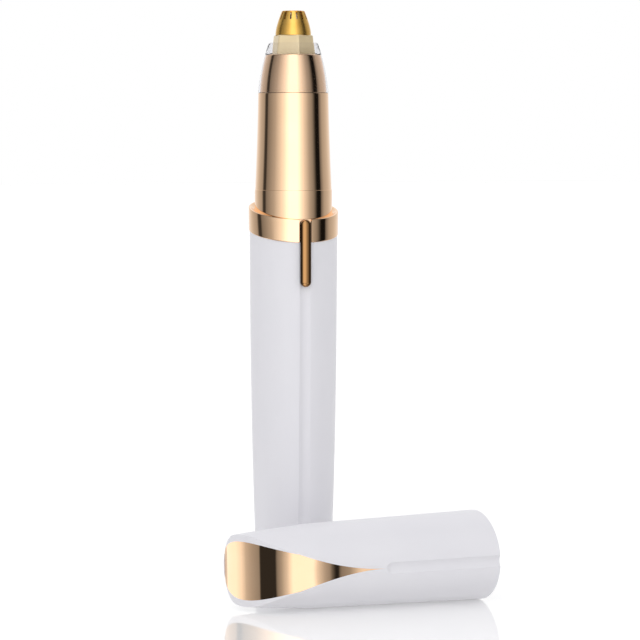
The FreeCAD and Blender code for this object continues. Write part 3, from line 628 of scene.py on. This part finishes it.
class RAZOR_OT_gold_trim(bpy.types.Operator):
    """Model the gold collar, neck band and cone"""
    bl_idname = "razor.gold_trim"
    bl_label = "Gold Trim"

    def execute(self, context):
        self.collar()
        self.neck()
        self.cone()
        return {"FINISHED"}

    def collar(self):
        """Rounded ring with a dished top, sheared to its slant, with the bar's slot across its front."""
        s = sizes()
        outer, inner = collar_high.x, neck_high.x
        outline = [(inner, 0, 0), (outer, 0, s.trim_round), (outer, s.collar_height, s.trim_round),
                   (outer - s.collar_lip, s.collar_height, s.trim_round),
                   (inner, s.collar_height - s.collar_dish, 0)]
        bm = turned(outline, FINE_TURN_STEPS)
        bmesh.ops.translate(bm, verts=bm.verts, vec=(0, outer, 0))
        lean = Matrix.Identity(4)
        lean[2][1] = s.collar_slope
        bmesh.ops.transform(bm, matrix=lean, verts=bm.verts)
        bmesh.ops.translate(bm, verts=bm.verts, vec=(0, -outer, collar_low.z))
        for vert in bm.verts:
            if abs(vert.co.x) < s.slot_half and vert.co.y < 0:
                vert.co.y = max(vert.co.y, s.slot_depth - outer)
        cut_stem_slot(bm)
        finish_piece(bm, "collar_ring")

    def neck(self):
        """Plain tube with a rounded top edge, cut on the slant at its foot."""
        s = sizes()
        outer = neck_high.x
        inner = outer - s.neck_wall
        foot = collar_low.z - s.collar_height
        outline = [(inner, foot, 0), (outer, foot, 0), (outer, neck_high.z, s.neck_round),
                   (inner, neck_high.z, 0)]
        bm = turned(outline)
        cut_slant(bm, collar_low.z, False)
        cut_stem_slot(bm)
        finish_piece(bm, "neck_band")

    def cone(self):
        """Tall cone with a ledge for the clear ring and a smaller cone inside it."""
        s = sizes()
        shoulder = ring_low.z
        tip = cone_high.z
        foot = (cone_high.x, cone_low.z)
        edge = (s.cone_shoulder_radius, shoulder)
        ledge = (s.cone_shoulder_radius - s.cone_ledge, shoulder)
        rim = (s.cone_tip_radius, tip)
        tall_middle = (s.cone_middle_radius, (cone_low.z + shoulder) / 2)
        tip_middle = (s.cone_tip_middle_radius, (shoulder + tip) / 2)
        outline = [(*foot, 0)] + bow(foot, tall_middle, edge) + [(*edge, s.trim_round), (*ledge, 0)]
        outline += bow(ledge, tip_middle, rim) + [(*rim, s.trim_round), (s.cone_mouth_radius, tip, 0)]
        outline += [(s.cone_mouth_radius, tip - s.cone_wall, 0)]
        outline += [(s.cone_tip_middle_radius - s.cone_wall, tip_middle[1], 0)]
        inner_step = shoulder - s.cone_step
        outline += [(ledge[0] - s.cone_wall, shoulder, 0), (ledge[0] - s.cone_wall, inner_step, 0)]
        outline += [(s.cone_inner_radius, inner_step, 0), (s.cone_inner_radius, cone_low.z, 0)]
        finish_piece(turned(outline), "cone_shell")


class RAZOR_OT_light_ring(bpy.types.Operator):
    """Model the clear ring that carries the light round the cone's tip"""
    bl_idname = "razor.light_ring"
    bl_label = "Light Ring"

    def execute(self, context):
        s = sizes()
        foot = (s.cone_shoulder_radius, ring_low.z)
        top = (s.ring_top_radius, ring_high.z)
        middle = (s.ring_middle_radius, (ring_low.z + ring_high.z) / 2)
        gold_foot = (s.cone_shoulder_radius - s.cone_ledge + s.ring_gap, ring_low.z)
        gold_tip = (s.cone_tip_radius + s.ring_gap, cone_high.z)
        gold_middle = (s.cone_tip_middle_radius + s.ring_gap, (ring_low.z + cone_high.z) / 2)
        outline = [(*foot, 0)] + bow(foot, middle, top) + [(*top, s.ring_round)]
        outline += [(s.cone_mouth_radius, ring_high.z, s.ring_round), (s.cone_mouth_radius, cone_high.z, 0)]
        outline += [(*gold_tip, 0)] + bow(gold_tip, gold_middle, gold_foot) + [(*gold_foot, 0)]
        ring = finish_piece(turned(outline), "light_ring")
        # So thin a clear wall takes hardly any light from what is behind it.
        ring.visible_shadow = False
        ring.visible_diffuse = False
        return {"FINISHED"}


class RAZOR_OT_head(bpy.types.Operator):
    """Model the six-sided holder and the slotted dome of the head"""
    bl_idname = "razor.head"
    bl_label = "Head"

    def execute(self, context):
        self.holder()
        self.dome()
        return {"FINISHED"}

    def holder(self):
        """Turned sleeve whose upper part is pressed to six flats with soft corners."""
        s = sizes()
        foot = holder_low.z + s.holder_skirt_length
        top = holder_high.z
        bore = s.holder_bore
        outline = [(bore, holder_low.z, 0), (s.holder_skirt, holder_low.z, s.holder_round),
                   (s.holder_skirt, foot, 0), (s.holder_foot_radius, foot, 0),
                   (s.holder_top_radius, top, s.holder_round), (bore, top, 0)]
        bm = turned(outline)
        facing = [math.pi * (2 * i + 1) / HOLDER_SIDES - math.pi / 2 for i in range(HOLDER_SIDES)]
        for vert in bm.verts:
            radius = math.hypot(vert.co.x, vert.co.y)
            if vert.co.z < foot - MERGE_GAP or radius < bore + s.holder_round / 2:
                continue
            turn = math.atan2(vert.co.y, vert.co.x)
            flats = [math.cos(turn - way) for way in facing]
            reach = sum(max(flat, 0) ** HOLDER_SHARPNESS for flat in flats) ** (-1 / HOLDER_SHARPNESS)
            vert.co.x *= reach
            vert.co.y *= reach
        finish_piece(bm, "head_holder")

    def dome(self):
        """Thin turned dome, slotted round its top, then given its sheet thickness."""
        s = sizes()
        foot = (dome_high.x, dome_low.z)
        belly = (s.dome_belly_radius, dome_low.z + s.dome_belly_height)
        rim = (s.dome_top_radius, dome_high.z)
        outline = [(0, foot[1], 0), (*foot, 0)] + bow(foot, belly, rim)
        outline += [(*rim, s.trim_round), (s.hair_slot_inner, rim[1], 0), (0, rim[1], 0)]
        bm = turned(outline)
        under = [f for f in bm.faces if f.calc_center_median().z < foot[1] + MERGE_GAP]
        bmesh.ops.delete(bm, geom=under, context="FACES")
        self.cut_hair_slots(bm)
        bmesh.ops.solidify(bm, geom=bm.faces[:], thickness=s.dome_wall)
        bmesh.ops.recalc_face_normals(bm, faces=bm.faces)
        finish_piece(bm, "head_dome")

    def cut_hair_slots(self, bm):
        """Cuts parallel-sided slots from the dome's top down its side."""
        s = sizes()
        low = dome_high.z - s.hair_slot_depth
        bmesh.ops.bisect_plane(bm, geom=everything(bm), dist=MERGE_GAP, plane_co=(0, 0, low),
                               plane_no=(0, 0, 1))
        turns = [2 * math.pi * i / s.hair_slots for i in range(s.hair_slots)]
        for turn in turns:
            across = Vector((math.cos(turn), math.sin(turn), 0))
            upper = [f for f in bm.faces if f.calc_center_median().z > low]
            bmesh.ops.bisect_plane(bm, geom=parts_of(upper), dist=MERGE_GAP,
                                   plane_co=across * s.hair_slot_half, plane_no=across)
        inside = []
        for face in bm.faces:
            middle = face.calc_center_median()
            if middle.z < low or math.hypot(middle.x, middle.y) < s.hair_slot_inner:
                continue
            sideways = [middle.x * math.cos(turn) + middle.y * math.sin(turn) for turn in turns]
            if min(abs(offset) for offset in sideways) < s.hair_slot_half:
                inside.append(face)
        bmesh.ops.delete(bm, geom=inside, context="FACES")


class RAZOR_OT_switch(bpy.types.Operator):
    """Model the rounded switch bar, and finish the slider and wiper behind it"""
    bl_idname = "razor.switch"
    bl_label = "Switch"

    def execute(self, context):
        crown = sizes().bar_crown
        half = (bar_high.x - bar_low.x) / 2
        run = (bar_high.z - bar_low.z) / 2 - half
        eave = bar_low.y + crown
        bm = bmesh.new()
        bmesh.ops.create_uvsphere(bm, u_segments=BAR_STEPS_ROUND, v_segments=BAR_STEPS_ALONG, radius=half)
        bmesh.ops.translate(bm, verts=[v for v in bm.verts if v.co.z > -MERGE_GAP], vec=(0, 0, run))
        bmesh.ops.translate(bm, verts=[v for v in bm.verts if v.co.z < -MERGE_GAP], vec=(0, 0, -run))
        bmesh.ops.scale(bm, verts=bm.verts, vec=(1, crown / half, 1))
        bmesh.ops.bisect_plane(bm, geom=everything(bm), dist=MERGE_GAP, plane_co=(0, 0, 0),
                               plane_no=(0, 1, 0), clear_outer=True)
        foot = bmesh.ops.extrude_edge_only(bm, edges=open_edges(bm))["geom"]
        sunk = [part for part in foot if isinstance(part, bmesh.types.BMVert)]
        bmesh.ops.translate(bm, verts=sunk, vec=(0, bar_high.y - eave, 0))
        bmesh.ops.holes_fill(bm, edges=open_edges(bm), sides=0)
        bmesh.ops.translate(bm, verts=bm.verts, vec=(0, eave, (bar_low.z + bar_high.z) / 2))
        bmesh.ops.recalc_face_normals(bm, faces=bm.faces)
        finish_piece(bm, "switch_bar")
        dress("switch_slider", "switch_wiper")
        return {"FINISHED"}


class RAZOR_OT_cap(bpy.types.Operator):
    """Finish the white cap and its gold inlay"""
    bl_idname = "razor.cap"
    bl_label = "Cap"

    def execute(self, context):
        dress("cap_shell", "cap_inlay")
        return {"FINISHED"}


class RAZOR_OT_inner_works(bpy.types.Operator):
    """Finish the motor, drive, cell, contacts, boards and chassis inside"""
    bl_idname = "razor.inner_works"
    bl_label = "Inner Works"

    def execute(self, context):
        dress("cutter_seat", "cutter_hub", "cutter_blades", "drive_coupling", "motor_can", "motor_end_cap",
              "motor_terminals", "motor_magnets", "shaft_bushings", "motor_shaft", "armature", "commutator",
              "motor_leads", "chassis_front", "chassis_rear", "chassis_screws", "battery_cell",
              "contact_plate", "contact_leaf", "contact_strip", "circuit_board", "led_board", "led")
        return {"FINISHED"}


class RAZOR_OT_stage(bpy.types.Operator):
    """Lay the glossy floor, light the scene softly and set the camera"""
    bl_idname = "razor.stage"
    bl_label = "Stage"

    # The camera stands to the left of the razor's front, and aims a little right of its middle.
    view_turn = math.radians(-15.5)
    eye_distance = 554.5 * MM
    eye_height = 101.7 * MM
    aim_right = 5.94 * MM
    aim_height = 59.29 * MM
    near_clip = 10 * MM
    # The lens and its sensor, in Blender's own millimetres.
    lens_length = 139.6
    sensor_width = 36.0

    # The sheet reaches 4 m each way, just under the razor's base.
    floor_reach = 4.0
    floor_drop = 0.02 * MM
    floor_mirror_share = 0.5
    # Light of its own that the floor shows to the camera, and throws up at the white pieces.
    floor_shown = 0.34
    floor_thrown = 0.3

    # Light from all round on what isn't polished.
    room_light = (0.98, 0.98, 0.99, 1)
    # Brightness that the studio shows to polished metal, by degrees right of the camera's side.
    studio = (
        (-164, 1.0), (-145, 0.8), (-125, 0.55), (-108, 0.4), (-101, 0.05), (-93, 0.04), (-88, 0.22),
        (-75, 0.33), (-60, 0.48), (-45, 0.8), (-30, 1.15), (-12, 1.8), (12, 1.8), (25, 1.2), (37, 0.8),
        (50, 0.45), (62, 0.28), (72, 0.05), (76, 0.008), (88, 0.008), (93, 0.2), (105, 0.45), (125, 0.6),
        (150, 0.85), (170, 1.0),
    )

    # The low card is bent round a point near the cap's closed end, and stays below the floor.
    card_centre = (-6 * MM, -36 * MM, 0)
    card_radius = 150 * MM
    card_low = -45 * MM
    card_high = -3 * MM
    card_steps = 96
    # Brightness of the low card, by degrees from the front towards the right.
    card = (
        (-150, 1.3), (-121, 1.3), (-107.8, 1.05), (-96.6, 0.6), (-86.1, 0.45), (-76.8, 0.36), (-69.8, 0.3),
        (-68.4, 0.03), (-43.2, 0.03), (-41.5, 0.22), (-34.8, 0.42), (-28, 0.75), (-21.3, 1.35), (-3, 1.35),
        (0.3, 0.8), (4.5, 0.45), (8.1, 0.28), (8.7, 0.02), (11.8, 0.02), (12.3, 0.25), (16.1, 0.4),
        (18, 0.9), (60, 1.0),
    )

    # The key light's width and place in metres, and its power in watts.
    key_width = 0.5
    key_power = 0.5
    key_place = (-0.75, -0.45, 0.55)
    key_aim = (0, 0, 0.06)

    def execute(self, context):
        self.floor()
        self.studio_light()
        self.low_card()
        self.key_light()
        self.camera()
        return {"FINISHED"}

    def floor(self):
        """White glossy sheet that keeps the razor's shadow and mirrors it softly."""
        bm = bmesh.new()
        bmesh.ops.create_grid(bm, x_segments=1, y_segments=1, size=self.floor_reach)
        bmesh.ops.translate(bm, verts=bm.verts, vec=(0, 0, -self.floor_drop))
        sheet = settle(bm, "floor")
        surface, tree, place = start_surface("acrylic_sheet_white_glossy")
        haze = add(tree, "ShaderNodeTexNoise", {"Vector": place, "Scale": 1 / (40 * MM), "Detail": 2.0})
        gloss = add(tree, "ShaderNodeMapRange", {"Value": haze.outputs[0], "To Min": 0.04, "To Max": 0.07})
        matt = add(tree, "ShaderNodeBsdfDiffuse", {"Color": rgba(linear("#E8E8E8"))})
        path = add(tree, "ShaderNodeLightPath")
        shown = add(tree, "ShaderNodeMath", {
            0: path.outputs["Is Camera Ray"], 1: self.floor_shown}, operation="MULTIPLY")
        thrown = add(tree, "ShaderNodeMath", {
            0: path.outputs["Is Diffuse Ray"], 1: self.floor_thrown}, operation="MULTIPLY")
        glow = add(tree, "ShaderNodeMath", {0: shown.outputs[0], 1: thrown.outputs[0]}, operation="ADD")
        white = add(tree, "ShaderNodeEmission", {"Color": WHITE_LIGHT, "Strength": glow.outputs[0]})
        lit = add(tree, "ShaderNodeAddShader", {0: matt.outputs[0], 1: white.outputs[0]})
        mirror = add(tree, "ShaderNodeBsdfGlossy", {"Color": WHITE_LIGHT, "Roughness": gloss.outputs[0]})
        both = add(tree, "ShaderNodeMixShader", {
            0: self.floor_mirror_share, 1: lit.outputs[0], 2: mirror.outputs[0]})
        add(tree, "ShaderNodeOutputMaterial", {"Surface": both.outputs[0]})
        sheet.data.materials.append(surface)
        # The gold sees through the floor to the low card and the studio's panels.
        sheet.visible_glossy = False

    def studio_light(self):
        """White surroundings, with the dark gaps between the studio's panels that polished gold shows."""
        scene = bpy.context.scene
        scene.view_settings.view_transform = "Standard"
        world = bpy.data.worlds.new("studio")
        scene.world = world
        world.use_nodes = True
        tree = world.node_tree
        tree.nodes.clear()
        way = add(tree, "ShaderNodeTexCoord").outputs["Generated"]
        turn = math.degrees(self.view_turn)
        panels = self.bands(tree, way, [(degrees + turn, level) for degrees, level in self.studio])
        path = add(tree, "ShaderNodeLightPath")
        shiny = add(tree, "ShaderNodeMath", {
            0: path.outputs["Is Glossy Ray"], 1: path.outputs["Is Transmission Ray"]}, operation="MAXIMUM")
        # Straight through the clear ring the background stays white. By way of the gold behind it, which is
        # a glossy depth of one or more, the panels show.
        mirrored = add(tree, "ShaderNodeMath", {
            0: path.outputs["Glossy Depth"], 1: 0.5}, operation="GREATER_THAN")
        beyond = add(tree, "ShaderNodeMix", {
            "Factor": mirrored.outputs[0], "A": WHITE_LIGHT, "B": panels,
        }, data_type="RGBA")
        polished = add(tree, "ShaderNodeMix", {
            "Factor": shiny.outputs[0], "A": self.room_light, "B": beyond.outputs["Result"],
        }, data_type="RGBA")
        shown = add(tree, "ShaderNodeMix", {
            "Factor": path.outputs["Is Camera Ray"], "A": polished.outputs["Result"], "B": WHITE_LIGHT,
        }, data_type="RGBA")
        sky = add(tree, "ShaderNodeBackground", {"Color": shown.outputs["Result"], "Strength": 1.0})
        add(tree, "ShaderNodeOutputWorld", {"Surface": sky.outputs[0]})

    def bands(self, tree, way, stops):
        """Grey levels by direction, in degrees from the front towards the right."""
        parts = add(tree, "ShaderNodeSeparateXYZ", {"Vector": way})
        back = add(tree, "ShaderNodeMath", {0: parts.outputs["Y"], 1: -1.0}, operation="MULTIPLY")
        turn = add(tree, "ShaderNodeMath", {0: parts.outputs["X"], 1: back.outputs[0]}, operation="ARCTAN2")
        share = add(tree, "ShaderNodeMapRange", {
            "Value": turn.outputs[0], "From Min": -math.pi, "From Max": math.pi})
        panels = add(tree, "ShaderNodeValToRGB", {"Fac": share.outputs[0]})
        elements = panels.color_ramp.elements
        for degrees, level in stops[2:]:
            elements.new(1.0)
        for element, (degrees, level) in zip(elements, stops):
            element.position = 0.5 + degrees / 360
            element.color = (level, level, level, 1)
        return panels.outputs["Color"]

    def low_card(self):
        """Bent card below the floor, seen only in polished metal, that the cap's inlay mirrors."""
        centre = Vector(self.card_centre)
        start, end = math.radians(self.card[0][0]), math.radians(self.card[-1][0])
        foot = centre + Vector((math.sin(start), -math.cos(start), 0)) * self.card_radius
        bm = bmesh.new()
        low = bm.verts.new(foot + Vector((0, 0, self.card_low)))
        high = bm.verts.new(foot + Vector((0, 0, self.card_high)))
        edge = bm.edges.new((low, high))
        bmesh.ops.spin(bm, geom=[low, high, edge], cent=centre, axis=(0, 0, 1), angle=end - start,
                       steps=self.card_steps, use_merge=False)
        card = settle(bm, "low_card")
        surface, tree, place = start_surface("card_grey_printed")
        way = add(tree, "ShaderNodeVectorMath", {0: place, 1: centre}, operation="SUBTRACT")
        level = self.bands(tree, way.outputs[0], self.card)
        glow = add(tree, "ShaderNodeEmission", {"Color": level, "Strength": 1.0})
        add(tree, "ShaderNodeOutputMaterial", {"Surface": glow.outputs[0]})
        card.data.materials.append(surface)
        card.visible_camera = False
        card.visible_diffuse = False
        card.visible_shadow = False
        card.visible_transmission = False

    def key_light(self):
        """Soft panel from the upper left that models the white pieces and stays out of the gold."""
        panel = bpy.data.lights.new("key", "AREA")
        panel.size = self.key_width
        panel.energy = self.key_power
        key = bpy.data.objects.new("key", panel)
        key.location = self.key_place
        key.rotation_euler = (Vector(self.key_aim) - key.location).to_track_quat("-Z", "Y").to_euler()
        key.visible_glossy = False
        key.visible_transmission = False
        key.visible_camera = False
        bpy.context.scene.collection.objects.link(key)

    def camera(self):
        """Long lens, a little above the razor's middle and to its left."""
        side = Vector((math.cos(self.view_turn), math.sin(self.view_turn), 0))
        away = Vector((math.sin(self.view_turn), -math.cos(self.view_turn), 0))
        eye = away * self.eye_distance + Vector((0, 0, self.eye_height))
        aim = side * self.aim_right + Vector((0, 0, self.aim_height))
        lens = bpy.data.cameras.new("camera")
        lens.sensor_width = self.sensor_width
        lens.lens = self.lens_length
        lens.clip_start = self.near_clip
        view = bpy.data.objects.new("camera", lens)
        view.location = eye
        view.rotation_euler = (aim - eye).to_track_quat("-Z", "Y").to_euler()
        bpy.context.scene.collection.objects.link(view)
        bpy.context.scene.camera = view


class RAZOR_PT_sidebar(bpy.types.Panel):
    """Sidebar list of the razor's pieces, sizes and colours"""
    bl_idname = "RAZOR_PT_sidebar"
    bl_label = "Eyebrow Razor"
    bl_space_type = "VIEW_3D"
    bl_region_type = "UI"
    bl_category = "Razor"

    def draw(self, context):
        layout = self.layout
        for operator in operators:
            layout.operator(operator.bl_idname)
        for group in (context.scene.razor_sizes, context.scene.razor_colours):
            column = layout.column()
            for name in group.__annotations__:
                column.prop(group, name)


operators = (
    RAZOR_OT_handle, RAZOR_OT_gold_trim, RAZOR_OT_light_ring, RAZOR_OT_head, RAZOR_OT_switch, RAZOR_OT_cap,
    RAZOR_OT_inner_works, RAZOR_OT_stage,
)
classes = (RazorSizes, RazorColours, *operators, RAZOR_PT_sidebar)


def register():
    """Registers the classes and puts the sizes and colours on the scene."""
    for cls in classes:
        bpy.utils.register_class(cls)
    bpy.types.Scene.razor_sizes = bpy.props.PointerProperty(type=RazorSizes)
    bpy.types.Scene.razor_colours = bpy.props.PointerProperty(type=RazorColours)


def unregister():
    """Takes the sizes, colours and classes away again."""
    del bpy.types.Scene.razor_colours
    del bpy.types.Scene.razor_sizes
    for cls in reversed(classes):
        bpy.utils.unregister_class(cls)


def main():
    """Builds every piece and the stage."""
    register()
    bpy.ops.razor.handle()
    bpy.ops.razor.gold_trim()
    bpy.ops.razor.light_ring()
    bpy.ops.razor.head()
    bpy.ops.razor.switch()
    bpy.ops.razor.cap()
    bpy.ops.razor.inner_works()
    bpy.ops.razor.stage()


if __name__ == "__main__":
    main()
